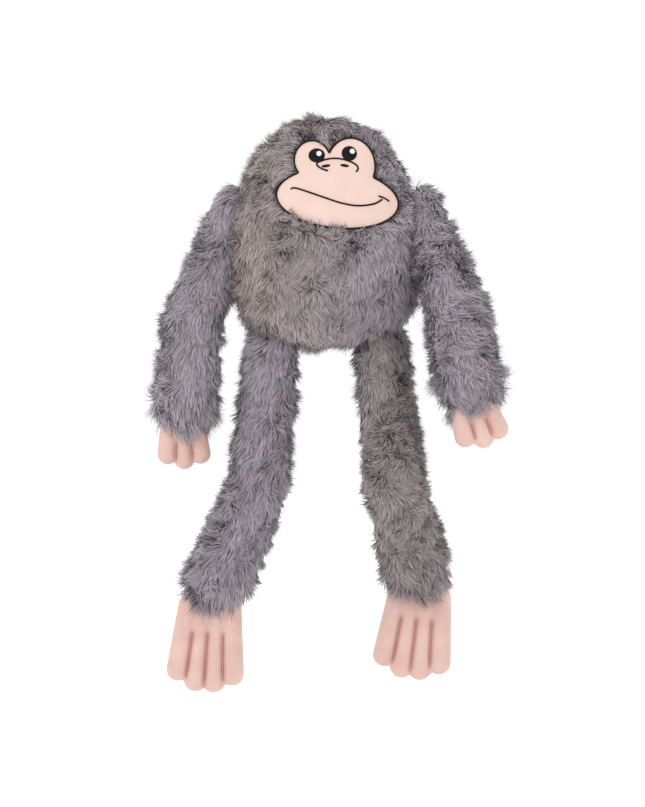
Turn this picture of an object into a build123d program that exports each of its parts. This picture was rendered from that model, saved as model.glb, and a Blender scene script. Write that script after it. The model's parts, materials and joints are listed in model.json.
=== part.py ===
from build123d import *

import os
from math import cos, radians, sin, sqrt

# A long-limbed stuffed monkey in pile fabric: an egg-shaped head and body in one, a sewn-on felt face with
# embroidered lines, two arms and two legs that are stuffed sleeves, and padded hands and feet.
#
# Millimetres, +Z up. The origin is the crown of the head, where the toy is picked up, and the face looks
# along -Y. "Right" and "left" are the monkey's own: its right side is at -X.

# ---------------------------------------------------------------------------------------------------------
# Driving dimensions
# ---------------------------------------------------------------------------------------------------------
BODY_HEIGHT = 196.0  # crown to seat
BODY_HALF_WIDTH = 82.0
BODY_HALF_DEPTH = 50.0
BODY_WALL = 6.0  # knitted backing with its pile pressed flat, at the front and back
PILE_WALL = 8.0  # the same on the limbs
FILL_GAP = 0.3  # between a skin and the stuffing in it
JOINT_GAP = 0.4  # between bodies that move past each other

SEAM_GAP = 3.0  # between the body's side and the top of an arm, bridged by a gathered neck
SEAT_GAP = 6.0  # the same between the body's underside and the top of a leg
SHOULDER_Z = -91.0
HIP_X = 49.0
UPPER_ARM, FOREARM = 89.0, 89.0  # joint to joint
THIGH, SHIN = 104.0, 104.0

SHOULDER_R, ELBOW_R, WRIST_R = 18.0, 23.0, 25.0  # sleeve radii at each joint
HIP_R, KNEE_R, ANKLE_R = 21.0, 24.0, 25.0
WAD_R = 8.0  # loose wad of fill in each shoulder and hip

SLEEVE_BEND = 60.0  # the furthest that a sleeve bends at its elbow or knee, degrees
FLOP = 50.0  # the furthest that a hand or foot flops either way, degrees
BEND_ROOM = 8.0  # extra, because the limbs hang a little crooked at rest, degrees

NECK_OUT, NECK_IN = 12.0, 9.0  # radii of the gathered neck that joins a limb to the body
HIP_LIFT = 12.0  # the hip's neck leaves room for a thigh swung up this far past level, degrees

# How each limb hangs at rest: degrees outwards, then degrees forwards, for each stretch of it.
REST = {
    "right": {
        "upper_arm": (8.4, 0.0),
        "forearm": (5.7, 0.0),
        "hand": (-3.0, 4.0),
        "thigh": (6.1, 0.0),
        "shin": (23.0, 0.0),
        "foot": (4.0, 6.0),
    },
    "left": {
        "upper_arm": (5.0, 26.0),
        "forearm": (8.0, 24.0),
        "hand": (18.0, 22.0),
        "thigh": (3.9, 24.0),
        "shin": (15.0, -20.0),
        "foot": (-8.0, 18.0),
    },
}
SIDES = {"right": -1, "left": 1}

# Hands and feet: a pad with a row of stuffed digits. Depths are below the joint.
FINGER_R, FINGER_PITCH, FINGER_TIPS, HAND_PAD = 8.5, 14.0, (33.0, 38.0, 34.0), 12.0
TOE_R, TOE_PITCH, TOE_TIPS, FOOT_PAD = 10.5, 15.6, (73.0, 81.0, 81.0, 74.0), 18.0
MITT_WALL = 1.6  # brushed fabric of the hands and feet
MITT_THREAD_R = 0.5

# The face, laid out on the frontal plane: centre x, centre z, half width, half height, tilt in degrees.
MUZZLE = (8.9, -74.9, 52.3, 25.5, -5.5)
RIGHT_BROW = (-12.9, -41.4, 15.2, 17.0, 0.0)
LEFT_BROW = (20.5, -46.4, 20.6, 24.5, 0.0)
NOSE_BRIDGE = (4.0, -50.4, 16.0, 11.0, 0.0)
FACE_SHAPES = (MUZZLE, RIGHT_BROW, LEFT_BROW, NOSE_BRIDGE)
RIGHT_EYE, LEFT_EYE = (-8.8, -37.8, 7.1, 6.3, 0.0), (18.9, -35.9, 6.6, 6.6, 0.0)
RIGHT_GLINT, LEFT_GLINT = (-6.9, -36.3, 2.3, 2.3, 0.0), (21.5, -34.1, 2.3, 2.3, 0.0)
RIGHT_NOSTRIL, LEFT_NOSTRIL = (-1.0, -47.0, 3.9, 1.3, 8.0), (14.9, -46.6, 3.9, 1.3, -8.0)
NOSE_LINE = [(0.9, -51.4), (-8.6, -46.3), (8.2, -40.5), (24.4, -45.6), (24.8, -52.0)]
MOUTH_LINE = [(-31.2, -66.8), (-24.0, -66.3), (-0.3, -75.1), (26.4, -81.2), (47.1, -75.1)]
CHEEK_LINE = [(44.0, -72.4), (48.8, -73.8), (53.1, -76.6)]
FACE_SEAT = 4.0  # depth that the pile is sheared away under the face
FACE_GAP = 0.2  # between the felt's edge and the pile round it
FACE_PROUD = 0.5  # felt above the pressed pile
STITCH_PROUD = 0.9  # satin stitch above the felt
STITCH_WIDTH = 1.9
GLINT_PROUD = 0.5  # white stitches above the black ones

CLOSING_STITCHES, CLOSING_PITCH, CLOSING_TOP = 9, 7.0, -100.0
CLOSING_LENGTH, CLOSING_WIDTH, CLOSING_PROUD = 7.0, 1.4, 0.8
CLOSING_STRIP = 21.0  # half width of the strip of back that holds the stitches

# The body's outline from crown to seat, as shares of its half width and height.
OUTLINE = [(0.0, 0.0), (0.60, 0.11), (0.86, 0.31), (1.0, 0.52), (0.95, 0.78), (0.72, 0.94), (0.0, 1.0)]
OUTLINE_ROUND = 1.3  # how round the outline leaves the crown and reaches the seat
FAR = 400.0  # longer than any cut needs
PROBE_R = 0.5  # a thin column that finds how high the underside is


# ---------------------------------------------------------------------------------------------------------
# Body
# ---------------------------------------------------------------------------------------------------------
def body_side(rise):
    """The body's edge from crown to seat, standing proud of it by rise at the front; negative is inside."""
    swell = rise * BODY_HALF_WIDTH / BODY_HALF_DEPTH
    width, height = BODY_HALF_WIDTH + swell, BODY_HEIGHT + 2 * rise
    points = [(x * width, rise - z * height) for x, z in OUTLINE]
    return Spline(*points, tangents=[(1, 0), (-1, 0)], tangent_scalars=[OUTLINE_ROUND, OUTLINE_ROUND])


def spun(*outline):
    return revolve(Plane.XZ * make_face(outline), Axis.Z)


def round_body(rise):
    """The body before it is flattened front to back: everything on it is cut at this stage."""
    side = body_side(rise)
    return spun(side, Line(side @ 1, side @ 0))


def round_layer(top, bottom):
    """The skin of the round body between two rises."""
    outer, inner = body_side(top), body_side(bottom)
    return spun(outer, Line(outer @ 1, inner @ 1), inner, Line(inner @ 0, outer @ 0))


def flattened(shape):
    return scale(shape, by=(1, BODY_HALF_DEPTH / BODY_HALF_WIDTH, 1))


def slab(x=(-FAR, FAR), y=(-FAR, FAR), z=(-FAR, FAR)):
    """A block between these limits, for cutting."""
    size = [hi - lo for lo, hi in (x, y, z)]
    middle = [(hi + lo) / 2 for lo, hi in (x, y, z)]
    return Pos(*middle) * Box(*size)


def seat_at(x):
    """Height of the body's underside below its side-to-side middle line."""
    column = Pos(x, 0, -BODY_HEIGHT) * Cylinder(PROBE_R, BODY_HEIGHT)
    return (round_body(0) & column).bounding_box().min.Z


def oval(x, z, half_width, half_height, tilt):
    return Pos(x, z) * Rot(0, 0, tilt) * Ellipse(half_width, half_height)


def on_front(sketch, top, bottom):
    """What a frontal sketch, pushed forwards, cuts from the round body's layer between two rises."""
    return extrude(Plane.XZ * sketch, amount=2 * BODY_HALF_WIDTH) & round_layer(top, bottom)


def stitched(points):
    """A line of satin stitch along a smooth curve, as a flat band."""
    return trace(Spline(*points), line_width=STITCH_WIDTH)


def face_outline(grow=0.0):
    """The muzzle, both brows and the bridge between them in one, let out by grow."""
    shapes = [oval(x, z, width + grow, height + grow, tilt) for x, z, width, height, tilt in FACE_SHAPES]
    muzzle, right_brow, left_brow, bridge = shapes
    return muzzle + right_brow + left_brow + bridge


def face_edge():
    """The band of stitching that runs round the face, half on the felt and half off it."""
    return face_outline(STITCH_WIDTH / 2) - face_outline(-STITCH_WIDTH / 2)


def body_nodes():
    skin = round_layer(0, -BODY_WALL)
    front, back = skin & slab(y=(-FAR, 0)), skin & slab(y=(0, FAR))
    pocket = on_front(face_outline(FACE_GAP), FACE_PROUD, -FACE_SEAT)
    nodes = {
        "body_front_panel": front - pocket,
        "body_back_right_panel": back & slab(x=(-FAR, 0)),
        "body_back_left_panel": back & slab(x=(0, FAR)),
        "body_stuffing": round_body(-BODY_WALL - FILL_GAP),
        "back_closing_stitches": closing_stitches(),
    }
    return nodes


def closing_stitches():
    """Ladder stitches across the middle back seam, where the toy was stuffed and closed."""
    bottom = CLOSING_TOP - CLOSING_STITCHES * CLOSING_PITCH
    strip = slab(x=(-CLOSING_STRIP, CLOSING_STRIP), y=(0, FAR), z=(bottom, CLOSING_TOP + CLOSING_PITCH))
    raised, stitches = round_layer(CLOSING_PROUD, 0) & strip, []
    for i in range(CLOSING_STITCHES):
        bar = Pos(0, CLOSING_TOP - i * CLOSING_PITCH) * SlotOverall(CLOSING_LENGTH, CLOSING_WIDTH)
        stitches += (extrude(Plane.XZ * bar, amount=-2 * BODY_HALF_WIDTH) & raised).solids()
    return Compound(stitches)


def face_nodes():
    felt, thread = FACE_PROUD, FACE_PROUD + STITCH_PROUD
    right_eye, left_eye = oval(*RIGHT_EYE), oval(*LEFT_EYE)
    nose = stitched(NOSE_LINE) - right_eye - left_eye
    smile = stitched(MOUTH_LINE) + stitched(CHEEK_LINE)
    nostrils = oval(*RIGHT_NOSTRIL) + oval(*LEFT_NOSTRIL)
    return {
        "face_patch": on_front(face_outline(), felt, -FACE_SEAT),
        "face_edge_stitching": on_front(face_edge(), thread, felt),
        "mouth_stitching": on_front(smile, thread, felt),
        "nose_stitching": on_front(nose, thread, felt),
        "nostril_stitching": on_front(nostrils, thread, felt),
        "right_eye": on_front(right_eye, thread, felt),
        "left_eye": on_front(left_eye, thread, felt),
        "right_eye_glint": on_front(oval(*RIGHT_GLINT), thread + GLINT_PROUD, thread),
        "left_eye_glint": on_front(oval(*LEFT_GLINT), thread + GLINT_PROUD, thread),
    }


def hip_height():
    return seat_at(HIP_X) - SEAT_GAP - HIP_R


def thigh_rise():
    """How far above the hip a thigh reaches below the neck's edge, when it is swung up past level."""
    lift = radians(HIP_LIFT)
    radius = HIP_R + NECK_OUT * (KNEE_R - HIP_R) / THIGH
    return (radius + NECK_OUT * sin(lift)) / cos(lift)


def neck_nodes():
    """Gathered necks that join the limbs to the body. They stop short of anything that moves."""
    stretch = BODY_HALF_WIDTH / BODY_HALF_DEPTH
    shoulder_ring = Ellipse(NECK_OUT * stretch, NECK_OUT) - Ellipse(NECK_IN * stretch, NECK_IN)
    hip_ring = Ellipse(NECK_OUT, NECK_OUT * stretch) - Ellipse(NECK_IN, NECK_IN * stretch)
    nodes = {}
    for side, s in SIDES.items():
        start, reach = BODY_HALF_WIDTH / 2, BODY_HALF_WIDTH + SEAM_GAP - JOINT_GAP
        outwards = Plane(origin=(s * start, 0, SHOULDER_Z), x_dir=(0, 1, 0), z_dir=(s, 0, 0))
        bottom = hip_height() + thigh_rise() + JOINT_GAP
        upwards = Plane(origin=(s * HIP_X, 0, bottom))
        shoulder = extrude(outwards * shoulder_ring, amount=reach - start)
        hip = extrude(upwards * hip_ring, amount=BODY_HALF_DEPTH)
        nodes[f"{side}_shoulder_neck"] = shoulder - round_body(0)
        nodes[f"{side}_hip_neck"] = hip - round_body(0)
    return nodes


# ---------------------------------------------------------------------------------------------------------
# Limbs
# ---------------------------------------------------------------------------------------------------------
def pod(top_r, bottom_r, span):
    """A stuffed sleeve: a round end at the origin, a taper down -Z, and a round end at -span."""
    lean = (top_r - bottom_r) / span
    out = sqrt(1 - lean * lean)
    top, bottom = (top_r * out, top_r * lean), (bottom_r * out, bottom_r * lean - span)
    crown, foot = (0, top_r), (0, -span - bottom_r)
    outline = [
        arc_about((0, 0), top_r, crown, top),
        Line(top, bottom),
        arc_about((0, -span), bottom_r, bottom, foot),
        Line(foot, crown),
    ]
    return revolve(Plane.XZ * make_face(outline), Axis.Z)


def arc_about(centre, radius, start, end):
    """The arc on the +X side of a centre, from start to end."""
    middle = Vector(*start) + Vector(*end) - Vector(*centre) * 2
    middle = middle.normalized() * radius + Vector(*centre)
    return ThreePointArc(start, (middle.X, middle.Y), end)


def limb_frame(joint, stretch, side):
    """A plane at a joint whose -Z runs down that stretch of the limb."""
    out, forward = (radians(angle) for angle in REST[side][stretch])
    down = Vector(SIDES[side] * sin(out) * cos(forward), -sin(forward), -cos(out) * cos(forward))
    across = Vector(1, 0, 0) - down * down.X
    return Plane(origin=joint, x_dir=across, z_dir=down * -1)


def along(frame, distance):
    """The point that far down the limb from its frame's joint."""
    return frame.origin - frame.z_dir * distance


def set_back(radius):
    """How far from an elbow or knee a sleeve's round end is centred, so that both sleeves clear when bent."""
    return (radius + JOINT_GAP) / cos(radians((SLEEVE_BEND + BEND_ROOM) / 2))


def cuff_and_neck(cuff_r, digit_r):
    """How far a cuff and the neck of a mitt are centred from their joint, so that they clear at full flop."""
    cuff, neck = cuff_r / (cuff_r + digit_r), digit_r / (cuff_r + digit_r)
    between = sqrt(cuff**2 + neck**2 + 2 * cuff * neck * cos(radians(FLOP + BEND_ROOM)))
    total = (cuff_r + digit_r + JOINT_GAP) / between
    return total * cuff, total * neck


def sleeve(name, frame, top_r, bottom_r, start, end, wad=False):
    """The skin and stuffing of a sleeve whose round ends are centred at start and end down the frame."""
    where = frame * Pos(0, 0, -start)
    inner = PILE_WALL + FILL_GAP
    skin = pod(top_r, bottom_r, end - start) - pod(top_r - PILE_WALL, bottom_r - PILE_WALL, end - start)
    fill = pod(top_r - inner, bottom_r - inner, end - start)
    if wad:
        fill -= Sphere(WAD_R + JOINT_GAP)
    return {f"{name}_sleeve": where * skin, f"{name}_stuffing": where * fill}


def mitt(radius, pitch, tips, pad, neck_at, inset=0.0):
    """A hand or foot: a round neck, a pad across and a row of digits, all smaller by inset."""
    across, slim = pitch * (len(tips) - 1), radius - inset
    shape = Pos(0, 0, -pad) * Rot(0, 90, 0) * Cylinder(slim, across)
    shape += upright_pill(0, neck_at, pad, slim)
    for i, tip in enumerate(tips):
        shape += upright_pill(i * pitch - across / 2, pad, tip - radius, slim)
    return shape


def upright_pill(x, top, bottom, radius):
    """A rod with round ends, centred at two depths below the joint."""
    rod = Pos(x, 0, -(top + bottom) / 2) * Cylinder(radius, bottom - top)
    return rod + Pos(x, 0, -top) * Sphere(radius) + Pos(x, 0, -bottom) * Sphere(radius)


def digit_stitches(radius, pitch, tips, pad):
    """Threads that lie in the grooves between digits, front and back."""
    depth = sqrt((radius + MITT_THREAD_R) ** 2 - (pitch / 2) ** 2)
    start, across = pad + pitch / 2, pitch * (len(tips) - 1)
    threads = []
    for i, (tip, next_tip) in enumerate(zip(tips, tips[1:])):
        length = min(tip, next_tip) - radius - start
        groove = Pos((i + 0.5) * pitch - across / 2, 0, -start - length / 2)
        thread = Cylinder(MITT_THREAD_R, length)
        threads += [groove * Pos(0, -depth, 0) * thread, groove * Pos(0, depth, 0) * thread]
    return Compound(threads)


def mitt_nodes(name, frame, digits, neck_at, front_face, back_face):
    """Two faces, stuffing and digit stitching of one hand or foot."""
    skin = mitt(*digits, neck_at) - mitt(*digits, neck_at, MITT_WALL)
    return {
        f"{name}_{front_face}": frame * (skin & slab(y=(-FAR, 0))),
        f"{name}_{back_face}": frame * (skin & slab(y=(0, FAR))),
        f"{name}_stuffing": frame * mitt(*digits, neck_at, MITT_WALL + FILL_GAP),
        f"{name}_stitching": frame * digit_stitches(*digits),
    }


def limb_nodes(side, top, stretches, lengths, radii, digits, faces):
    """One arm or leg: a wad of fill at its top joint, two sleeves and a mitt."""
    first, second, last = (f"{side}_{stretch}" for stretch in stretches)
    top_r, middle_r, cuff_r = radii
    upper = limb_frame(top, stretches[0], side)
    middle = along(upper, lengths[0])
    lower = limb_frame(middle, stretches[1], side)
    end = along(lower, lengths[1])
    mitt_frame = limb_frame(end, stretches[2], side)
    back = set_back(middle_r)
    cuff_back, neck_at = cuff_and_neck(cuff_r, digits[0])
    for name, point in zip(stretches, (top, middle, end)):
        print(f"{side} {name} turns about {point.X:.3f} {point.Y:.3f} {point.Z:.3f}")
    nodes = sleeve(first, upper, top_r, middle_r, 0, lengths[0] - back, wad=True)
    nodes |= sleeve(second, lower, middle_r, cuff_r, back, lengths[1] - cuff_back)
    nodes |= mitt_nodes(last, mitt_frame, digits, neck_at, *faces)
    return nodes


def arm_nodes(side):
    shoulder = Vector(SIDES[side] * (BODY_HALF_WIDTH + SEAM_GAP + SHOULDER_R), 0, SHOULDER_Z)
    stretches, lengths = ("upper_arm", "forearm", "hand"), (UPPER_ARM, FOREARM)
    radii, digits = (SHOULDER_R, ELBOW_R, WRIST_R), (FINGER_R, FINGER_PITCH, FINGER_TIPS, HAND_PAD)
    nodes = limb_nodes(side, shoulder, stretches, lengths, radii, digits, ("back", "palm"))
    return nodes | {f"{side}_shoulder_wad": Pos(*shoulder) * Sphere(WAD_R)}


def leg_nodes(side):
    hip = Vector(SIDES[side] * HIP_X, 0, hip_height())
    stretches, lengths = ("thigh", "shin", "foot"), (THIGH, SHIN)
    radii, digits = (HIP_R, KNEE_R, ANKLE_R), (TOE_R, TOE_PITCH, TOE_TIPS, FOOT_PAD)
    nodes = limb_nodes(side, hip, stretches, lengths, radii, digits, ("top", "sole"))
    return nodes | {f"{side}_hip_wad": Pos(*hip) * Sphere(WAD_R)}


# ---------------------------------------------------------------------------------------------------------
# Write every sub-part
# ---------------------------------------------------------------------------------------------------------
def main():
    on_body = body_nodes() | face_nodes() | neck_nodes()
    nodes = {name: flattened(shape) for name, shape in on_body.items()}
    for side in SIDES:
        nodes |= arm_nodes(side) | leg_nodes(side)
    os.makedirs("parts", exist_ok=True)
    for name, shape in nodes.items():
        export_step(shape, f"parts/{name}.step")
    print(len(nodes), "sub-parts")


main()
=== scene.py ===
import json
import math

import bmesh
import bpy
import numpy as np
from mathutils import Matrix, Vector


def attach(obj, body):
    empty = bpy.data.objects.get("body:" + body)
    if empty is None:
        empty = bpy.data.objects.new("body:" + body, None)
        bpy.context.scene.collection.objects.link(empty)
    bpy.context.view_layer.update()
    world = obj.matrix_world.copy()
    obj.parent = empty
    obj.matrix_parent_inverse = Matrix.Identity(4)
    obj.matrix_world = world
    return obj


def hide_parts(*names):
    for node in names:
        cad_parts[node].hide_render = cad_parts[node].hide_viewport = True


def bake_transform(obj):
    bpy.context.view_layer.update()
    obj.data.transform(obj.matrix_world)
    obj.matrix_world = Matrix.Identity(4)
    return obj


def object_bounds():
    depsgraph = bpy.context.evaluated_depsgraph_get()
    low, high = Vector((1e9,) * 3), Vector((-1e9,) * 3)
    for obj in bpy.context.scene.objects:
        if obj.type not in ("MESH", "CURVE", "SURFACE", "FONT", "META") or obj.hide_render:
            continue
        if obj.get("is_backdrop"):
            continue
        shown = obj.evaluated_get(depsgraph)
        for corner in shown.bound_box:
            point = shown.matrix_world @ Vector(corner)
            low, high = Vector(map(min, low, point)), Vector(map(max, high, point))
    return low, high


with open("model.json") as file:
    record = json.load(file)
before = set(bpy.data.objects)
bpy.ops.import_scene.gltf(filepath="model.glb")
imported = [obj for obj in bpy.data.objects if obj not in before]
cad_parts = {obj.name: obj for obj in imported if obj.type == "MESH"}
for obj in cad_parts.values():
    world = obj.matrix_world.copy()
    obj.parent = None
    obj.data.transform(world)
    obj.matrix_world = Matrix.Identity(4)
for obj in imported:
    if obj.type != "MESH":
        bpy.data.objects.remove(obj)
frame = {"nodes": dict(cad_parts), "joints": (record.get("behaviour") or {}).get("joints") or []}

cad_low, cad_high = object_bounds()
SEED = 7
rng = np.random.default_rng(SEED)
JOINT = {joint["name"]: np.array(joint["pos_m"], float) for joint in frame["joints"]}

# %% [markdown]
# ## Materials
# Shader sums read more easily as plain arithmetic, so a small class wraps a socket and the operators used
# here. A second class holds one material and adds its nodes.
# %% A small class for shader maths
class Sock:
    def __init__(self, tree, out):
        self.tree, self.out = tree, out

    def math(self, kind, other=0.0):
        node = self.tree.nodes.new("ShaderNodeMath")
        node.operation = kind
        for i, value in enumerate((self, other)):
            if isinstance(value, Sock):
                self.tree.links.new(value.out, node.inputs[i])
            else:
                node.inputs[i].default_value = value
        return Sock(self.tree, node.outputs[0])

    __add__ = __radd__ = lambda self, other: self.math("ADD", other)
    __mul__ = __rmul__ = lambda self, other: self.math("MULTIPLY", other)
    __truediv__ = lambda self, other: self.math("DIVIDE", other)
    __pow__ = lambda self, other: self.math("POWER", other)

    def floor(self):
        return self.math("FLOOR")

    def fract(self):
        return self.math("FRACT")


class Shader:
    """A material and the one way that nodes are added to it."""

    def __init__(self, name, roughness=0.9, **values):
        self.material = bpy.data.materials.new(name)
        self.material.use_nodes = True
        self.tree = self.material.node_tree
        self.bsdf = self.tree.nodes["Principled BSDF"]
        self.bsdf.inputs["Roughness"].default_value = roughness
        for socket, value in values.items():
            self.bsdf.inputs[socket.replace("_", " ")].default_value = value

    def node(self, kind, settings=None, inputs=None, output=0):
        made = self.tree.nodes.new(kind)
        for key, value in (settings or {}).items():
            setattr(made, key, value)
        for key, value in (inputs or {}).items():
            if isinstance(value, Sock):
                self.tree.links.new(value.out, made.inputs[key])
            else:
                made.inputs[key].default_value = value
        return Sock(self.tree, made.outputs[output])

    def mix(self, share, low, high):
        """Between two colours; a colour is three numbers or a socket."""
        colours = {6: low, 7: high}
        whole = {k: v if isinstance(v, Sock) else (*v, 1) for k, v in colours.items()}
        return self.node("ShaderNodeMix", {"data_type": "RGBA"}, {0: share, **whole}, output=2)

    def noise(self, where, scale):
        return self.node("ShaderNodeTexNoise", None, {"Vector": where, "Scale": scale, "Detail": 3.0})

    def place(self):
        return self.node("ShaderNodeTexCoord", output=3)

    def base(self, colour):
        self.tree.links.new(colour.out, self.bsdf.inputs["Base Color"])

    def bump(self, height, strength, distance):
        values = {"Height": height, "Strength": strength, "Distance": distance}
        self.tree.links.new(self.node("ShaderNodeBump", None, values).out, self.bsdf.inputs["Normal"])


print("shader classes:", Sock.__name__, Shader.__name__)


# %% [markdown]
# The pile's shade is carried by each hair's own map, so a hair keeps its colour wherever a limb moves it.
# Across, the map holds a brightness step and, inside that step, how warm or cool the hair is. Up, it runs
# from the root to the tip. Cloth and thread are mottled by a noise, with a finer noise for bump.
# %% Pile, felt and thread
STEPS = 8
WARM_ROOT, WARM_TIP = (0.25, 0.198, 0.178), (0.52, 0.430, 0.395)
COOL_ROOT, COOL_TIP = (0.225, 0.198, 0.228), (0.50, 0.45, 0.53)


def pile_material():
    shader = Shader("pile", roughness=0.75, Sheen_Weight=0.25, Sheen_Roughness=0.5)
    uv = shader.node("ShaderNodeUVMap", {"uv_map": "OFBake"})
    split = shader.tree.nodes.new("ShaderNodeSeparateXYZ")
    shader.tree.links.new(uv.out, split.inputs[0])
    across, up = Sock(shader.tree, split.outputs[0]), Sock(shader.tree, split.outputs[1])
    bright, cool = (across * STEPS).floor() / (STEPS - 1.0), (across * STEPS).fract()
    root = shader.mix(cool, WARM_ROOT, COOL_ROOT)
    tip = shader.mix(cool, WARM_TIP, COOL_TIP)
    colour = shader.mix(up ** 0.8, root, tip)
    lift = bright * 0.50 + 0.72
    shader.base(shader.node("ShaderNodeVectorMath", {"operation": "SCALE"}, {0: colour, 3: lift}))
    return shader.material


FINER = 4  # how much finer the bump's noise is than the colour's


def plain_material(name, low, high, scale, bump=0.3, depth=0.0006, roughness=0.9, **values):
    shader = Shader(name, roughness, **values)
    spots = shader.noise(shader.place(), scale)
    shader.base(shader.mix(spots, low, high))
    shader.bump(shader.noise(shader.place(), scale * FINER), bump, depth)
    return shader.material


PILE = pile_material()
BACKING = plain_material("backing", (0.22, 0.185, 0.175), (0.30, 0.255, 0.25), 140)
VELBOA = plain_material("brushed peach", (0.71, 0.50, 0.43), (0.78, 0.60, 0.535), 60, 0.5, 0.0008,
                        Sheen_Weight=0.2)
LIMB_FELT = plain_material("brushed limb peach", (0.56, 0.335, 0.285), (0.76, 0.545, 0.49), 45, 0.7, 0.0012,
                           Sheen_Weight=0.2)
BLACK = plain_material("black thread", (0.006, 0.005, 0.006), (0.014, 0.012, 0.013), 400, 0.3, 0.0002, 0.75,
                       Specular_IOR_Level=0.12)
WHITE = plain_material("white thread", (0.75, 0.75, 0.73), (0.88, 0.88, 0.86), 400, 0.3, 0.0002,
                       roughness=0.5)
SEAM = plain_material("seam thread", (0.60, 0.29, 0.24), (0.70, 0.37, 0.31), 400, 0.3, 0.0002)
GREY = plain_material("grey thread", (0.05, 0.045, 0.045), (0.08, 0.07, 0.07), 400, 0.3, 0.0002)
print("materials:", len(bpy.data.materials))

# %% [markdown]
# ## Shapes
# The body's side line is a smooth curve through a few shares of its half width and height. Spinning it and
# then flattening it front to back gives a soft egg.
# %% The body's surface
WIDTH, DEPTH, HEIGHT = 0.082, 0.050, 0.196
OUTLINE = np.array([(0, 0), (0.60, 0.11), (0.86, 0.31), (1, 0.52), (0.95, 0.78), (0.72, 0.94), (0, 1)], float)


def smooth_curve(points, count):
    """A curve through the points, evenly spaced, from cubic pieces."""
    padded = np.vstack([2 * points[0] - points[1], points, 2 * points[-1] - points[-2]])
    pieces = []
    for i in range(1, len(padded) - 2):
        a, b, c, d = padded[i - 1 : i + 3]
        t = np.linspace(0, 1, 60, endpoint=False)[:, None]
        square, cube = 2 * a - 5 * b + 4 * c - d, 3 * b - a - 3 * c + d
        pieces.append(0.5 * (2 * b + (c - a) * t + square * t**2 + cube * t**3))
    dense = np.vstack([*pieces, points[-1:]])
    far = np.r_[0, np.cumsum(np.linalg.norm(np.diff(dense, axis=0), axis=1))]
    even = np.linspace(0, far[-1], count)
    return np.column_stack([np.interp(even, far, dense[:, k]) for k in range(dense.shape[1])])


def body_profile():
    """Half width and height of the body's side, with a round crown and seat."""
    frame_knots = OUTLINE * (WIDTH, -HEIGHT)
    mirrored = np.vstack([frame_knots[1] * (-1, 1), frame_knots, frame_knots[-2] * (-1, 1)])
    dense = smooth_curve(mirrored, 900)
    top, seat = np.argmax(dense[:, 1]), np.argmin(dense[:, 1])
    side = dense[top : seat + 1]
    side[:, 0] = np.maximum(side[:, 0], 0)
    side[0, 0] = side[-1, 0] = 0
    return smooth_curve(side[::12], 200)


PROFILE = body_profile()


def body_width(z):
    """The body's half width at a height."""
    return np.interp(-z, -PROFILE[:, 1], PROFILE[:, 0])


def front_y(x, z, rise=0.0):
    """How far forwards the body's front is at a point of the frontal plane."""
    r = body_width(z)
    return -DEPTH / WIDTH * np.sqrt(np.maximum(r**2 - x**2, 1e-8)) - rise


def body_grid(inset=0.0):
    """A grid of points over the body: rows go down from the crown, columns go round."""
    turn = np.linspace(0, 2 * np.pi, 97)
    r, z = PROFILE[:, :1], PROFILE[:, 1:]
    thin = np.clip(1 - inset / (r + 1e-6), 0, 1)
    mid = -HEIGHT / 2
    x, y = r * thin * np.cos(turn), r * thin * np.sin(turn) * DEPTH / WIDTH
    return np.dstack([x, y, (mid + (z - mid) * (1 - inset / HEIGHT * 2)) * np.ones_like(x)])


print("body is widest at z =", round(float(PROFILE[np.argmax(PROFILE[:, 0]), 1]) * 1000), "mm")


# %% [markdown]
# A limb is a tube along a bent centre line, round at both ends. Its radius is given at the top, the middle
# and the end. The bend is rounded by averaging the line over a short stretch, as stuffed cloth bends softly.
# %% A limb's surface
LIMB_ROWS, CAP_ROWS, LINE_STEPS = 150, 22, 400
SOFT_BEND = 0.16  # share of a limb's length over which its bend is rounded


def limb_grid(points, radii, inset):
    top, middle, end = (np.array(p, float) for p in points)
    first, last = middle - top, end - middle
    u = np.linspace(0, 1, LINE_STEPS)[:, None]
    bend = np.where(u < 0.5, 2 * u, 1.0) * first + np.where(u < 0.5, 0.0, 2 * u - 1) * last
    line = top + bend
    width = int(LINE_STEPS * SOFT_BEND)
    kernel = np.hanning(width + 2)[1:-1]
    kernel /= kernel.sum()
    edged = np.vstack([line[0] + (line[0] - line[1]) * np.arange(width, 0, -1)[:, None], line,
                       line[-1] + (line[-1] - line[-2]) * np.arange(1, width + 1)[:, None]])
    line = np.column_stack([np.convolve(edged[:, k], kernel, "same") for k in range(3)])[width:-width]
    far = np.r_[0, np.cumsum(np.linalg.norm(np.diff(line, axis=0), axis=1))]
    total, (r0, r1, r2) = far[-1], radii
    quarter = np.linspace(0, np.pi / 2, CAP_ROWS)
    s = np.r_[-r0 * np.cos(quarter)[:-1], np.linspace(0, total, LIMB_ROWS), total + r2 * np.sin(quarter)[1:]]
    radius = np.interp(s, [0, total / 2, total], [r0, r1, r2])
    radius = np.where(s < 0, np.sqrt(np.maximum(r0**2 - s**2, 0)), radius)
    radius = np.where(s > total, np.sqrt(np.maximum(r2**2 - (s - total) ** 2, 0)), radius)
    radius = np.maximum(radius - inset, 0)
    inside = np.clip(s, 0, total)
    centre = np.column_stack([np.interp(inside, far, line[:, k]) for k in range(3)])
    ahead = np.gradient(centre, axis=0)
    ahead[s <= 0], ahead[s >= total] = line[1] - line[0], line[-1] - line[-2]
    ahead /= np.linalg.norm(ahead, axis=1, keepdims=True)
    centre = centre + ahead * (s - inside)[:, None]
    side = np.cross(ahead, (0, 1, 0))
    side /= np.linalg.norm(side, axis=1, keepdims=True)
    front = np.cross(side, ahead)
    turn = np.linspace(0, 2 * np.pi, 49)
    ring = np.cos(turn)[None, :, None] * side[:, None] + np.sin(turn)[None, :, None] * front[:, None]
    return centre[:, None] + radius[:, None, None] * ring


print("limb surface has", LIMB_ROWS + 2 * (CAP_ROWS - 1), "rows")

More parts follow.
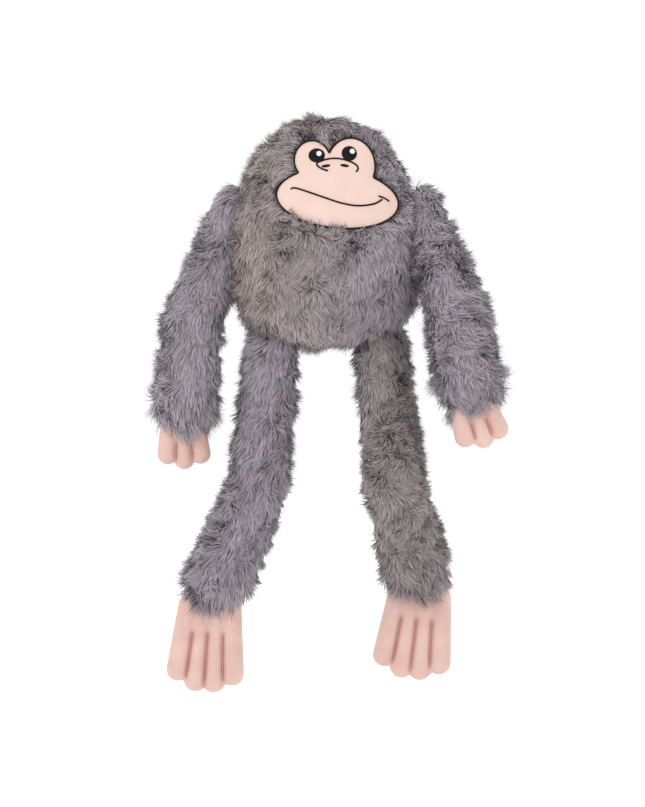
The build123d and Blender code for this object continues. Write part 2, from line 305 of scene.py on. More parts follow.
# %% [markdown]
# Hairs come in hundreds of thousands, too many to add by operators, so a mesh is filled straight from arrays
# of points and faces. A closed skin then has its faces turned outwards.
# %% Meshes from arrays
DOUBLES = 0.00002  # points nearer than this are merged where asked


def mesh_object(name, points, faces, material, uv=None):
    mesh = bpy.data.meshes.new(name)
    mesh.vertices.add(len(points))
    mesh.vertices.foreach_set("co", np.asarray(points, np.float32).ravel())
    sizes = np.array([len(face) for face in faces])
    flat = np.concatenate(faces) if isinstance(faces, list) else faces.ravel()
    mesh.loops.add(len(flat))
    mesh.loops.foreach_set("vertex_index", flat.astype(np.int32))
    mesh.polygons.add(len(sizes))
    mesh.polygons.foreach_set("loop_start", np.r_[0, np.cumsum(sizes)[:-1]].astype(np.int32))
    mesh.update(calc_edges=True)
    if uv is not None:
        layer = mesh.uv_layers.new(name="OFBake")
        layer.data.foreach_set("uv", np.asarray(uv, np.float32)[flat].ravel())
    mesh.polygons.foreach_set("use_smooth", np.ones(len(sizes), bool))
    mesh.materials.append(material)
    mesh.validate()
    obj = bpy.data.objects.new(name, mesh)
    bpy.context.collection.objects.link(obj)
    return obj


def closed_mesh(name, grid, material):
    """A smooth closed skin from a grid whose first and last rows are single points."""
    rows, cols = grid.shape[0], grid.shape[1] - 1
    points = np.vstack([grid[0, :1], grid[1:-1, :-1].reshape(-1, 3), grid[-1, :1]])
    i, j = np.meshgrid(np.arange(rows - 3), np.arange(cols), indexing="ij")
    a, b = 1 + i * cols + j, 1 + i * cols + (j + 1) % cols
    quads = np.stack([a, b, b + cols, a + cols], -1).reshape(-1, 4)
    k = np.arange(cols)
    last = len(points) - 1
    caps = [(0, 1 + (n + 1) % cols, 1 + n) for n in k]
    low = last - cols
    caps += [(last, low + n, low + (n + 1) % cols) for n in k]
    return turned_out(mesh_object(name, points, [tuple(q) for q in quads] + caps, material))


def turned_out(obj, forwards=False, merged=False):
    """Its faces turned outwards, or for an open patch forwards."""
    fix = bmesh.new()
    fix.from_mesh(obj.data)
    if merged:
        bmesh.ops.remove_doubles(fix, verts=fix.verts, dist=DOUBLES)
    bmesh.ops.recalc_face_normals(fix, faces=fix.faces)
    if forwards and sum(face.normal.y for face in fix.faces) > 0:
        bmesh.ops.reverse_faces(fix, faces=fix.faces)
    fix.to_mesh(obj.data)
    fix.free()
    return obj


print("points nearer than", DOUBLES * 1000, "mm are merged in stitched ovals")

# %% [markdown]
# ## Pile
# Each hair is a thin tapering blade, rooted in the backing. Hairs lean along the nap, and neighbours lean
# together so that the pile breaks into locks. Blades are used in place of a hair system because they are
# plain mesh. Shading them mostly as the cloth under them keeps the pile soft.
# %% Hairs over a grid
NOISE_WAVES = rng.normal(size=(26, 3))
NOISE_TURNS = rng.uniform(0, 2 * np.pi, 26)
NOISE_PUSH = rng.normal(size=(26, 3))
SOFT_SHADE = 0.65  # how far a hair is shaded as the cloth under it and not as a flat blade


def lock_push(points, wave):
    """A smooth random direction that changes over about a wavelength."""
    phase = points @ (NOISE_WAVES.T * (2 * np.pi / wave / 1.7)) + NOISE_TURNS
    return np.sin(phase) @ NOISE_PUSH / math.sqrt(len(NOISE_WAVES) / 2)


def surface_points(grid, count):
    """Random points over a grid, with the outward normal and the way the rows run."""
    a, b, c = grid[:-1, :-1], grid[1:, :-1], grid[:-1, 1:]
    area = np.linalg.norm(np.cross(b - a, c - a), axis=2)
    share = np.cumsum(area.ravel())
    cell = np.searchsorted(share, rng.uniform(0, share[-1], count))
    i, j = np.unravel_index(np.minimum(cell, area.size - 1), area.shape)
    u, v = rng.uniform(size=(2, count, 1))
    p00, p10, p01, p11 = grid[i, j], grid[i + 1, j], grid[i, j + 1], grid[i + 1, j + 1]
    point = p00 * (1 - u) * (1 - v) + p10 * u * (1 - v) + p01 * (1 - u) * v + p11 * u * v
    down = (p10 - p00) * (1 - v) + (p11 - p01) * v
    across = (p01 - p00) * (1 - u) + (p11 - p10) * u
    normal = np.cross(down, across)
    for w in (down, normal):
        w /= np.linalg.norm(w, axis=1, keepdims=True) + 1e-12
    return point, normal, down


def unit(v):
    return v / (np.linalg.norm(v, axis=1, keepdims=True) + 1e-12)


HAIR_WIDTH, HAIR_SINK = 0.00072, 0.001
HAIR_LIFT, HAIR_STRAY = 0.62, 0.19  # how far a hair stands before it lies down, and how much it strays
LOCKS = ((0.024, 0.6), (0.010, 0.6))  # sizes of the locks, and how strongly each pushes
HAIR_HEIGHTS = (0.03, 0.03, 0.36, 0.36, 0.7, 0.7, 0.97)  # of a blade's seven points, on its map
HAIR_FACES = ((0, 1, 3), (0, 3, 2), (2, 3, 5), (2, 5, 4), (4, 5, 6))


def blades(name, point, normal, nap, length, tone):
    """A mesh of hairs. nap is the way each hair lies. tone is the hairs' mean brightness, how cool they are,
    and how much cooler they get for each metre to the left."""
    shade, coolness, across = tone
    count = len(point)
    (large, large_push), (small, small_push) = LOCKS
    locks = lock_push(point, large) * large_push + lock_push(point + 0.3, small) * small_push
    stray = rng.normal(size=(count, 3)) * HAIR_STRAY
    start = unit(normal * (HAIR_LIFT + 0.35) + nap * 0.55 + locks * 0.25 + stray * 0.5)
    middle = unit(normal * HAIR_LIFT * 0.75 + nap * 0.9 + locks * 0.6 + stray * 0.8)
    end = unit(normal * HAIR_LIFT * 0.35 + nap * 1.1 + locks * 0.9 + stray)
    reach = length[:, None]
    p0 = point - normal * HAIR_SINK
    p1 = p0 + start * reach * 0.36
    p2 = p1 + middle * reach * 0.34
    p3 = p2 + end * reach * 0.30
    spin = rng.normal(size=(count, 3)) * 0.5
    side = unit(np.cross(middle, normal + spin))
    half = side * HAIR_WIDTH * rng.uniform(0.7, 1.3, (count, 1)) / 2
    rows = [p0 - half, p0 + half, p1 - half, p1 + half, p2 - half * 0.75, p2 + half * 0.75, p3]
    verts = np.stack(rows, 1).reshape(-1, 3)
    k = np.arange(count)[:, None] * len(rows)
    faces = (k[:, :, None] + np.array(HAIR_FACES)[None]).reshape(-1, 3)
    step = (rng.normal(shade, 0.20, count) + lock_push(point, 0.02)[:, 0] * 0.12) * STEPS
    step = np.clip(step, 0, STEPS - 1).astype(int)
    # Cooling for each metre to the left paints sheen across the pile; only the body's tone asks for it.
    cool = np.clip(coolness + point[:, 0] * across + rng.normal(0, 0.08, count), 0.06, 0.94)
    u = (step + cool) / STEPS
    uv = np.stack([np.repeat(u, len(rows)), np.tile(HAIR_HEIGHTS, count)], 1)
    obj = mesh_object(name, verts, faces, PILE, uv)
    soft = unit(normal * SOFT_SHADE + np.cross(side, middle) * (1 - SOFT_SHADE) + locks * 0.2)
    obj.data.normals_split_custom_set_from_vertices(np.repeat(soft, len(rows), axis=0))
    print(name, "hairs", count, "triangles", len(faces))
    return obj


print("each hair has", len(HAIR_FACES), "triangles")


# %% [markdown]
# ## The face outline
# The muzzle, two brows and the bridge between them are ovals in the frontal plane: middle, half width, half
# height and tilt. The face is their union, and a ray from its middle meets its edge once.
# %% Face layout
OVALS = [(0.0089, -0.0749, 0.0523, 0.0255, -5.5), (-0.0129, -0.0414, 0.0152, 0.0170, 0),
         (0.0205, -0.0464, 0.0206, 0.0245, 0), (0.0040, -0.0504, 0.0160, 0.0110, 0)]
FACE_MIDDLE = np.array([0.006, -0.0554])
FELT_EDGE, FELT_PAD = -0.0006, 0.0026  # how far the felt stands out at its edge, and how much more inside
EDGE_SEARCH = (0.004, 0.075, 900)  # nearest and farthest place of the edge along a ray, and steps between


def in_oval(x, z, oval):
    """Below 1 inside the oval."""
    cx, cz, w, h, tilt = oval
    t = math.radians(tilt)
    dx, dz = x - cx, z - cz
    wide, high = dx * math.cos(t) + dz * math.sin(t), dz * math.cos(t) - dx * math.sin(t)
    return (wide / w) ** 2 + (high / h) ** 2


def in_face(x, z):
    return np.min([in_oval(x, z, oval) for oval in OVALS], axis=0) < 1


def face_edge(count=360):
    """Points round the face's edge in the frontal plane."""
    turn = np.linspace(0, 2 * np.pi, count, endpoint=False)
    ray = np.stack([np.cos(turn), np.sin(turn)], 1)
    steps = np.linspace(*EDGE_SEARCH)
    reach = np.zeros(count)
    for n in range(count):
        spots = FACE_MIDDLE + ray[n] * steps[:, None]
        inside = in_face(spots[:, 0], spots[:, 1])
        reach[n] = steps[len(inside) - 1 - np.argmax(inside[::-1])]
    kernel = np.array([1, 2, 3, 2, 1]) / 9
    reach = np.convolve(np.r_[reach[-2:], reach, reach[:2]], kernel, "valid")
    return FACE_MIDDLE + ray * reach[:, None], ray, reach


def along_edge(away, reach):
    """How far the face's edge is from its middle, along each of the given ways."""
    turn = np.mod(np.arctan2(away[:, 1], away[:, 0]), 2 * np.pi)
    return np.interp(turn, np.linspace(0, 2 * np.pi, len(reach) + 1), np.r_[reach, reach[0]])


print("face reaches", [round(1000 * float(v), 1) for v in np.ptp(face_edge()[0], axis=0)], "mm across and up")

# %% [markdown]
# ## Body
# The body's pile parts round the face: beside its edge the hairs are short and lie away from it, except below
# the muzzle, where they lean over it. Low on the belly they lean away from one point.
# %% Body skin and pile
BODY_INSET, BODY_HAIRS = 0.0045, 112000  # the cloth under the pile lies inside the body's outline
PILE_LENGTH = (0.011, 0.0165)
PART_WIDTH = 0.016  # hairs are shorter within this far of the face's edge
WHORL, WHORL_R = (-0.013, -0.150), 0.028
SPLIT_Z = -0.105  # the front's pile is in two pieces, parted at this height
# The body's pile is painted cooler towards its left and warmer towards its right: a painted sheen of the light
# across the fabric.
BODY_TONE_AND_PAINTED_SHEEN = (0.48, 0.5, 5.0)
grid = body_grid(BODY_INSET)
backing = closed_mesh("body_backing", grid, BACKING)
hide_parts("body_front_panel", "body_back_right_panel", "body_back_left_panel", "body_stuffing")
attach(backing, "torso")

point, normal, nap = surface_points(grid, BODY_HAIRS)
flat = np.column_stack([point[:, 0], point[:, 2]])
front = point[:, 1] < 0
_, _, reach = face_edge()
away = flat - FACE_MIDDLE
beyond = np.linalg.norm(away, axis=1) - along_edge(away, reach)
keep = ~(front & (beyond < 0.0005))
point, normal, nap, away, beyond, front = (a[keep] for a in (point, normal, nap, away, beyond, front))
near = np.where(front, np.clip(1 - beyond / PART_WIDTH, 0, 1), 0)[:, None]
outward = unit(np.column_stack([away[:, 0], np.zeros(len(away)), away[:, 1]]))
overlap = np.clip((-point[:, 2] - 0.080) / 0.012, 0, 1) * np.clip((0.030 - point[:, 0]) / 0.02, 0, 1)
nap = unit(nap * (1 - near) + outward * near * (1.6 - 2.9 * overlap[:, None]))
low_front = np.clip((-point[:, 2] - 0.15) / 0.04, 0, 1)
length = rng.uniform(*PILE_LENGTH, len(point)) * (1 - 0.42 * near[:, 0]) * (1 + 0.3 * low_front)
whorl = np.column_stack([point[:, 0] - WHORL[0], np.zeros(len(point)), point[:, 2] - WHORL[1]])
pull = np.where(front, np.exp(-((np.linalg.norm(whorl, axis=1) / WHORL_R) ** 2)), 0)[:, None]
nap = unit(nap + unit(whorl) * pull * 0.8)
parts = {"front_upper": front & (point[:, 2] > SPLIT_Z), "front_lower": front & (point[:, 2] <= SPLIT_Z),
         "back_right": ~front & (point[:, 0] < 0), "back_left": ~front & (point[:, 0] >= 0)}
for part, chosen in parts.items():
    pile = blades(f"body_pile_{part}", point[chosen], normal[chosen], nap[chosen], length[chosen], BODY_TONE_AND_PAINTED_SHEEN)
    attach(pile, "torso")

# %% [markdown]
# ## Arms and legs
# Each limb is one soft tube. Its cloth and its pile are made over the same surface.
# %% Limbs
# How far a limb reaches from its first joint into the body's pile.
TOP_REACH = {"arm": (-0.021, 0, 0.013), "leg": (-0.002, 0, 0.017)}
WADS = {"arm": "shoulder", "leg": "hip"}  # the loose filling at each limb's top, inside its skin
CUFF_FRINGE = 0.034  # within this far of a limb's end the pile grows longer, and hangs over the hand or foot
ARM_TONE = (0.5, 0.8, 0.0)
# The left leg's pile is painted darker and warmer than the other limbs: painted shade, where the shade falls on
# that leg.
LEG_TONES_AND_PAINTED_SHADE = {("left", "leg"): (0.20, 0.45, 0.0), ("right", "leg"): (0.42, 0.85, 0.0)}
LIMB_INSET, CUFF = 0.0050, 0.0285  # a limb ends this far above its last joint
LIMBS = {  # joints, radii, bodies and hairs
    "arm": (("shoulder_swing", "elbow_bend", "wrist_flop"), (0.0165, 0.0245, 0.0265), ("upper_arm", "forearm"),
            34000),
    "leg": (("hip_swing", "knee_bend", "ankle_flop"), (0.022, 0.0245, 0.0270), ("thigh", "shin"), 38000),
}
for side in ("right", "left"):
    for limb, (joints, radii, bodies, count) in LIMBS.items():
        a, b, c = (JOINT[f"{side}_{joint}"] for joint in joints)
        low = c + (b - c) / np.linalg.norm(b - c) * CUFF
        upper, lower = (f"{side}_{body}" for body in bodies)
        points = (a + np.array(TOP_REACH[limb]) * (1 if side == "left" else -1, 1, 1), b, low)
        grid = limb_grid(points, radii, LIMB_INSET)
        skin = closed_mesh(f"{side}_{limb}_backing", grid, BACKING)
        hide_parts(f"{upper}_sleeve", f"{upper}_stuffing", f"{lower}_sleeve", f"{lower}_stuffing",
                    f"{side}_{WADS[limb]}_wad")
        point, normal, nap = surface_points(grid, count)
        below = (point - low) @ ((low - b) / np.linalg.norm(low - b))
        at_cuff = np.clip(1 + (below - radii[2]) / CUFF_FRINGE, 0, 1)
        length = rng.uniform(*PILE_LENGTH, len(point)) * (1 + at_cuff)
        nap = unit(nap + at_cuff[:, None] * unit((low - b)[None]) * 1.5)
        pile = blades(f"{side}_{limb}_pile", point, normal, nap, length, LEG_TONES_AND_PAINTED_SHADE.get((side, limb), ARM_TONE))
        for piece in (skin, pile):
            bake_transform(piece)

# %% [markdown]
# ## Hands and feet
# Each is a padded mitt. Round digits are joined into one skin and softened, so creases stay between them.
# %% Mitts
# A groove's width, how much of the thickness it takes, and its start as a share of the shortest digit's end.
GROOVE_WIDTH, GROOVE_DEPTH, GROOVE_START = 0.0019, 0.42, 0.36
VOXEL = 0.0010  # cell of the remeshing that joins the digits


def groove(i, z, pitch, tips, pad, radius, waist):
    """Where the groove after digit i runs at a depth z below the joint, its low end and its high end."""
    x = (i + 0.5) * pitch - pitch * (len(tips) - 1) / 2
    low = (tips[i] + tips[i + 1]) / 2 - radius
    share = np.clip((z - pad * 0.4) / (low - pad * 0.4), 0, 1)
    return x * (waist + (1 - waist) * share), low, min(tips) * GROOVE_START


def mitt(name, joint, down, radius, pitch, tips, pad, depth, waist, material):
    """One hand or foot, below its joint along down. Its digits draw together upwards, to waist times their
    spread."""
    down = Vector(down).normalized()
    across = (Vector((1, 0, 0)) - down * down.x).normalized()
    facing = across.cross(down)
    width = pitch * (len(tips) - 1)
    bpy.ops.object.select_all(action="DESELECT")
    made = []

    def ball(x, z, size):
        bpy.ops.mesh.primitive_uv_sphere_add(segments=40, ring_count=24, radius=1, location=(x, 0, -z),
                                             scale=size)
        made.append(bpy.context.object)

    ball(0, pad * 0.5, (width / 2 * waist + radius * 0.8, depth * 0.98, pad * 1.0))
    for i, tip in enumerate(tips):
        x, low = i * pitch - width / 2, tip - radius
        x_top = x * waist
        ball(x, low, (radius, depth, radius))
        ball(x_top, pad * 0.4, (radius, depth, radius))
        between = ((x + x_top) / 2, 0, -(low + pad * 0.4) / 2)
        bpy.ops.mesh.primitive_cylinder_add(vertices=40, radius=1, depth=1, location=between)
        rod = bpy.context.object
        rod.scale = (radius, depth, math.hypot(low - pad * 0.4, x - x_top))
        rod.rotation_euler = (0, math.atan2(x_top - x, low - pad * 0.4), 0)
        made.append(rod)
    for blob in made:
        blob.select_set(True)
    bpy.context.view_layer.objects.active = made[0]
    bpy.ops.object.join()
    obj = bpy.context.object
    obj.name = obj.data.name = name
    bpy.ops.object.transform_apply(location=True, rotation=True, scale=True)
    remesh = obj.modifiers.new("skin", "REMESH")
    remesh.mode, remesh.voxel_size = "VOXEL", VOXEL
    bpy.ops.object.modifier_apply(modifier="skin")
    smooth = obj.modifiers.new("soft", "SMOOTH")
    smooth.iterations, smooth.factor = 6, 0.5
    bpy.ops.object.modifier_apply(modifier="soft")
    co = np.array([v.co for v in obj.data.vertices])
    sunk = np.zeros(len(co))
    for i in range(len(tips) - 1):
        line, low, high = groove(i, -co[:, 2], pitch, tips, pad, radius, waist)
        run = np.clip((-co[:, 2] - high) / 0.006, 0, 1)
        sunk = np.maximum(sunk, np.exp(-(((co[:, 0] - line) / GROOVE_WIDTH) ** 2)) * run)
    co[:, 1] *= 1 - GROOVE_DEPTH * sunk
    basis = np.array([across, facing, -down])
    placed = co @ basis + np.array(joint)
    obj.data.vertices.foreach_set("co", placed.astype(np.float32).ravel())
    bpy.ops.object.shade_smooth()
    obj.data.materials.clear()
    obj.data.materials.append(material)
    obj.data.update()
    return obj, basis


def crease_lines(name, joint, basis, radius, pitch, tips, pad, depth, waist, material):
    """Thread along each groove between digits, on both faces."""
    lines = []
    for i in range(len(tips) - 1):
        _, low, high = groove(i, 0.0, pitch, tips, pad, radius, waist)
        z = np.linspace(high, low + radius * 0.55, 24)
        x, _, _ = groove(i, z, pitch, tips, pad, radius, waist)
        for face in (-1, 1):
            y = face * depth * (1 - GROOVE_DEPTH) * 0.93 * np.ones_like(z)
            y[-4:] *= (0.95, 0.85, 0.65, 0.35)
            lines.append(np.column_stack([x, y, -z]) @ basis + np.array(joint))
    return stitched(name, lines, 0.0006, 0.0006, material, ridge=0.25, pitch=0.0022)


print("grooves are pressed in by", GROOVE_DEPTH, "of the thickness")


# %% [markdown]
# Thread is a fine tube with a ridge for every stitch, so that satin stitch and seams catch the light as thread
# does.
# %% Thread
SIDES = 8  # round a thread


def stitched(name, lines, half_width, half_height, material, ridge=0.3, pitch=0.0011, outward=None):
    """Threads along lines of points. outward gives the way that each line's flat side faces."""
    verts, faces = [], []
    for n, line in enumerate(lines):
        far = np.r_[0, np.cumsum(np.linalg.norm(np.diff(line, axis=0), axis=1))]
        count = max(int(far[-1] / (pitch / 4)), 8)
        s = np.linspace(0, far[-1], count)
        mid = np.column_stack([np.interp(s, far, line[:, k]) for k in range(3)])
        ahead = unit(np.gradient(mid, axis=0))
        up = np.tile((0.0, -1.0, 0.0), (count, 1)) if outward is None else np.column_stack(
            [np.interp(s, far, outward[n][:, k]) for k in range(3)])
        side = unit(np.cross(ahead, up))
        up = unit(np.cross(side, ahead))
        swell = 1 - ridge + ridge * np.abs(np.sin(np.pi * s / pitch))
        taper = np.clip(np.minimum(s, far[-1] - s) / (half_width * 1.2) + 0.3, 0, 1) ** 0.5
        turn = np.linspace(0, 2 * np.pi, SIDES + 1)[:-1]
        wide, tall = half_width * taper * (0.85 + 0.15 * swell), half_height * swell * taper
        ring = (np.cos(turn)[None, :, None] * side[:, None] * wide[:, None, None]
                + np.sin(turn)[None, :, None] * up[:, None] * tall[:, None, None])
        base = sum(len(v) for v in verts)
        verts.append((mid[:, None] + ring).reshape(-1, 3))
        i, j = np.meshgrid(np.arange(count - 1), np.arange(SIDES), indexing="ij")
        a, b = base + i * SIDES + j, base + i * SIDES + (j + 1) % SIDES
        faces += [tuple(q) for q in np.stack([a, b, b + SIDES, a + SIDES], -1).reshape(-1, 4)]
        faces += [tuple(base + np.arange(SIDES)[::-1]), tuple(base + (count - 1) * SIDES + np.arange(SIDES))]
    return turned_out(mesh_object(name, np.vstack(verts), faces, material))


print("a thread has", SIDES, "sides")


# %% [markdown]
# Each hand and foot is set at its joint with its own lean, since the limbs don't hang alike. The two hands
# share one set of sizes, and the two feet another.
# %% Make the hands and feet
def lean(side, out, forward):
    s = -1 if side == "right" else 1
    out, forward = math.radians(out), math.radians(forward)
    return (s * math.sin(out) * math.cos(forward), -math.sin(forward), -math.cos(out) * math.cos(forward))


MITT_SIZES = {  # a digit's radius, spacing and ends, the pad's length, half thickness and waist
    "hand": (0.0090, 0.0140, (0.033, 0.038, 0.034), 0.012, 0.0095, 0.8),
    "foot": (0.0102, 0.0156, (0.073, 0.081, 0.081, 0.074), 0.020, 0.0112, 0.74),
}
MITT_PARTS = {"hand": ("wrist_flop", "back", "palm"), "foot": ("ankle_flop", "top", "sole")}
LEANS = {  # degrees outwards and forwards
    ("right", "hand"): (-3, 4), ("left", "hand"): (18, 22), ("right", "foot"): (4, 6), ("left", "foot"): (-8, 18),
}
for (side, kind), rest in LEANS.items():
    joint, near_face, far_face = MITT_PARTS[kind]
    at, name, sizes = JOINT[f"{side}_{joint}"], f"{side}_{kind}", MITT_SIZES[kind]
    skin, basis = mitt(f"{name}_skin", at, lean(side, *rest), *sizes, LIMB_FELT)
    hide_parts(f"{name}_{near_face}", f"{name}_{far_face}", f"{name}_stuffing")
    thread = crease_lines(f"{name}_creases", at, basis, *sizes, SEAM)
    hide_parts(f"{name}_stitching")
    for piece in (skin, thread):
        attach(piece, f"{side}_{kind}")
    print(name, "vertices", len(skin.data.vertices))

# %% [markdown]
# ## Face
# The face is a lightly padded patch over the body's front. It and the ovals stitched on it are laid out in
# the frontal plane and then pressed back on to the body's curve. Satin stitch covers its edge.
# %% Face patch
PATCH_POINTS, PATCH_RINGS = 240, 40
ON_FELT = 0.0002  # how far above the felt a thread's middle lies


def ring_quads(first, count):
    """The four-sided faces between a ring of points, which starts at first, and the next ring."""
    return [(first + n, first + (n + 1) % count, first + count + (n + 1) % count, first + count + n)
            for n in range(count)]


def over_face(points, rise):
    """Frontal points laid on the body's front, standing out by rise."""
    return np.column_stack([points[:, 0], front_y(points[:, 0], points[:, 1], rise), points[:, 1]])


def face_patch():
    count, rings = PATCH_POINTS, PATCH_RINGS
    _, ray, reach = face_edge(count)
    share = np.linspace(0, 1, rings + 1)[1:]
    flat = FACE_MIDDLE + ray[None] * (reach[None] * share[:, None])[:, :, None]
    rise = FELT_EDGE + FELT_PAD * (1 - share**5)
    rows = [over_face(flat[k], rise[k]) for k in range(rings)]
    middle = over_face(FACE_MIDDLE[None], rise[0])
    points = np.vstack([middle, *rows])
    faces = [(0, 1 + (n + 1) % count, 1 + n) for n in range(count)]
    for k in range(rings - 1):
        faces += ring_quads(1 + k * count, count)
    return turned_out(mesh_object("face_felt", points, faces, VELBOA), forwards=True)


def felt_rise(points):
    """How far the felt stands out at frontal points."""
    away = points - FACE_MIDDLE
    _, _, reach = face_edge()
    share = np.clip(np.linalg.norm(away, axis=1) / along_edge(away, reach), 0, 1)
    return FELT_EDGE + FELT_PAD * (1 - share**5)


def on_felt(points):
    return over_face(points, felt_rise(points) + ON_FELT)


def torso_piece(obj, slot, *nodes):
    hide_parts(*nodes)
    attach(obj, "torso")


SATIN_HALF = 0.0008  # half width of the satin stitch
felt = face_patch()
torso_piece(felt, "velboa", "face_patch")
rim, _, _ = face_edge(480)
rim_line = over_face(np.vstack([rim, rim[:2]]), 0.0)
torso_piece(stitched("face_edge_satin", [rim_line], SATIN_HALF, 0.0009, BLACK, 0.35), "black_thread",
            "face_edge_stitching")
print("face patch has", len(felt.data.vertices), "vertices")

# %% [markdown]
# The features are satin stitch. A line is a ridged thread, and an eye or nostril is a low dome with ridges.
# %% Features
NOSE = np.array([(0.9, -51.4), (-4.6, -49.4), (-8.6, -46.3), (-7.4, -43.8), (0.5, -41.1), (8.2, -40.5),
                 (16.5, -42.0), (24.2, -45.4), (26.4, -49.1), (24.6, -52.1)]) / 1000
MOUTH = np.array([(-31.2, -66.8), (-27.0, -65.9), (-13.7, -70.3), (-0.3, -75.1), (13.0, -79.3), (26.4, -81.2),
                  (39.7, -79.3), (47.1, -75.1)]) / 1000
CHEEK = np.array([(43.6, -72.4), (48.4, -73.9), (53.1, -76.6)]) / 1000
nose = [on_felt(smooth_curve(NOSE, 60))]
smile = [on_felt(smooth_curve(MOUTH, 90)), on_felt(smooth_curve(CHEEK, 20))]
for feature, lines in (("nose", nose), ("mouth", smile)):
    torso_piece(stitched(f"{feature}_satin", lines, SATIN_HALF, 0.0007, BLACK), "black_thread",
                f"{feature}_stitching")


OVAL_RINGS, OVAL_POINTS = 12, 64
RIDGE_HEIGHT, RIDGE_PITCH = 0.00009, 0.0011


def satin_oval(name, ovals, height, material, extra=0.0):
    """Raised ovals of satin stitch, with ridges that run up and down."""
    verts, faces = [], []
    for x, z, w, h, tilt in ovals:
        t = math.radians(tilt)
        rings, count = OVAL_RINGS, OVAL_POINTS
        turn = np.linspace(0, 2 * np.pi, count, endpoint=False)
        base = len(verts)
        for k in range(rings + 1):
            share = k / rings
            px = x + share * (w * np.cos(turn) * math.cos(t) - h * np.sin(turn) * math.sin(t))
            pz = z + share * (w * np.cos(turn) * math.sin(t) + h * np.sin(turn) * math.cos(t))
            ridges = RIDGE_HEIGHT * np.sin(px * 2 * np.pi / RIDGE_PITCH) * (share < 0.97)
            spots = np.column_stack([px, pz])
            dome = height * math.sqrt(max(1 - share**2.6, 0)) + ridges + extra
            verts += list(over_face(spots, felt_rise(spots) + dome))
        for k in range(rings):
            faces += ring_quads(base + k * count, count)
    return turned_out(mesh_object(name, np.array(verts), faces, material), forwards=True, merged=True)


EYES = {"right_eye": (-0.0088, -0.0378, 0.0071, 0.0063, 0), "left_eye": (0.0189, -0.0359, 0.0066, 0.0066, 0)}
GLINTS = {"right_eye_glint": (-0.0069, -0.0363, 0.0022, 0.0022, 0),
          "left_eye_glint": (0.0215, -0.0341, 0.0022, 0.0022, 0)}
NOSTRILS = [(-0.0010, -0.0470, 0.0039, 0.0013, 8), (0.0149, -0.0466, 0.0039, 0.0013, -8)]
for node, oval in EYES.items():
    torso_piece(satin_oval(f"{node}_satin", [oval], 0.0013, BLACK), "black_thread", node)
for node, oval in GLINTS.items():
    torso_piece(satin_oval(f"{node}_satin", [oval], 0.0006, WHITE, 0.0013), "white_thread", node)
torso_piece(satin_oval("nostril_satin", NOSTRILS, 0.0008, BLACK), "black_thread", "nostril_stitching")
print("eyes, glints and nostrils:", len(EYES), len(GLINTS), len(NOSTRILS))

# %% [markdown]
# ## Seams
# Ladder stitches close the back. The gathered necks that join the limbs to the body are under the pile, so the
# jointed model's own are kept and only get the backing's cloth.
# %% Back stitches and necks
# How many stitches, where the top one is, their spacing, half their length, and the points along each.
LADDER, LADDER_TOP, LADDER_STEP, LADDER_HALF, LADDER_POINTS = 9, -0.100, 0.007, 0.0035, 12
for node in ("right_shoulder_neck", "left_shoulder_neck", "right_hip_neck", "left_hip_neck"):
    frame["nodes"][node].data.materials.clear()
    frame["nodes"][node].data.materials.append(BACKING)
bars = []
for n in range(LADDER):
    z = LADDER_TOP - LADDER_STEP * n
    x = np.linspace(-LADDER_HALF, LADDER_HALF, LADDER_POINTS)
    y = DEPTH / WIDTH * np.sqrt(body_width(z) ** 2 - x**2) + 0.0004
    bars.append(np.column_stack([x, y, np.full_like(x, z)]))
facing = [np.tile((0.0, 1.0, 0.0), (LADDER_POINTS, 1)) for _ in bars]
ladder = stitched("back_ladder", bars, 0.0006, 0.0005, GREY, 0.1, outward=facing)
torso_piece(ladder, "grey_thread", "back_closing_stitches")
print("closing stitches:", len(bars))

# %% [markdown]
# ## Studio
# A wide pale floor under an even white sky, with a soft key from the upper left that gives the pile its shape.
# %% Floor, lights and camera
FLOOR_Z, FLOOR_R, FLOOR_GLOW = -0.56, 9.0, 0.3
AIM = Vector((0, 0, -0.25))  # the middle of the toy


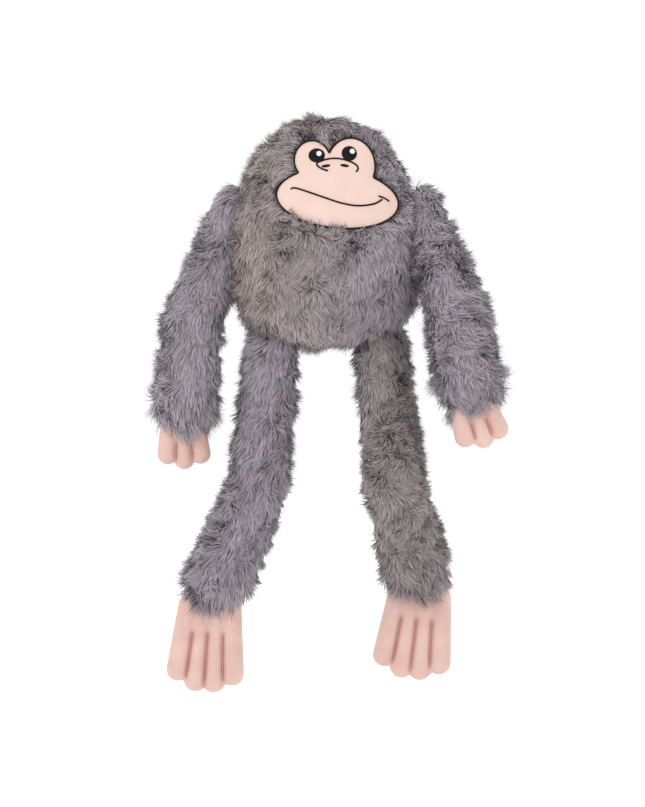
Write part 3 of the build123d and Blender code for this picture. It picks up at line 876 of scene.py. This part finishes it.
def floor():
    shader = Shader("paper", roughness=1.0)
    shader.bsdf.inputs["Base Color"].default_value = (0.9, 0.9, 0.9, 1)
    shader.bsdf.inputs["Emission Color"].default_value = (1, 1, 1, 1)
    shader.bsdf.inputs["Emission Strength"].default_value = FLOOR_GLOW
    bpy.ops.object.select_all(action="DESELECT")
    bpy.ops.mesh.primitive_circle_add(vertices=96, radius=FLOOR_R, fill_type="NGON", location=(0, 0, FLOOR_Z))
    obj = bpy.context.object
    obj.name = obj.data.name = "studio_floor"
    bpy.ops.object.transform_apply(location=True)
    obj.data.materials.append(shader.material)
    return obj


def area_light(name, where, size, power):
    light = bpy.data.lights.new(name, "AREA")
    light.size, light.energy = size, power
    obj = bpy.data.objects.new(name, light)
    obj.location = where
    obj.rotation_euler = (AIM - Vector(where)).to_track_quat("-Z", "Y").to_euler()
    bpy.context.collection.objects.link(obj)


floor()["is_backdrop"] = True
area_light("key", (-1.1, -1.6, 1.1), 1.3, 9)
area_light("fill", (1.6, -1.5, 0.2), 1.6, 2)
area_light("top", (0.0, 0.3, 1.5), 1.0, 3)
world = bpy.data.worlds.new("studio")
world.use_nodes = True
world.node_tree.nodes["Background"].inputs[0].default_value = (1, 1, 1, 1)
world.node_tree.nodes["Background"].inputs[1].default_value = 1.0
scene = bpy.context.scene
scene.world = world
scene.view_settings.view_transform = "Standard"

DISTANCE, VIEW_WIDTH = 2.2, 0.558
camera = bpy.data.cameras.new("camera")
camera.sensor_fit = "HORIZONTAL"
camera.lens = camera.sensor_width * DISTANCE / VIEW_WIDTH
eye = bpy.data.objects.new("camera", camera)
eye.location = (-0.0039, -DISTANCE, -0.2487)
eye.rotation_euler = (math.pi / 2, 0, 0)
bpy.context.collection.objects.link(eye)
scene.camera = eye
print("camera lens:", round(camera.lens, 1), "mm")

# %% [markdown]
# ## Finish
# The box of the finished toy is set beside the jointed model's, to see how far the hairs stand out of it.
# %% Finish
new_low, new_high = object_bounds()
sizes = {"cad": [list(cad_low), list(cad_high)], "visual": [list(new_low), list(new_high)]}
print("box grows on its low side by", [round(1000 * (a - b), 1) for a, b in zip(cad_low, new_low)], "mm")
print("box grows on its high side by", [round(1000 * (b - a), 1) for a, b in zip(cad_high, new_high)], "mm")
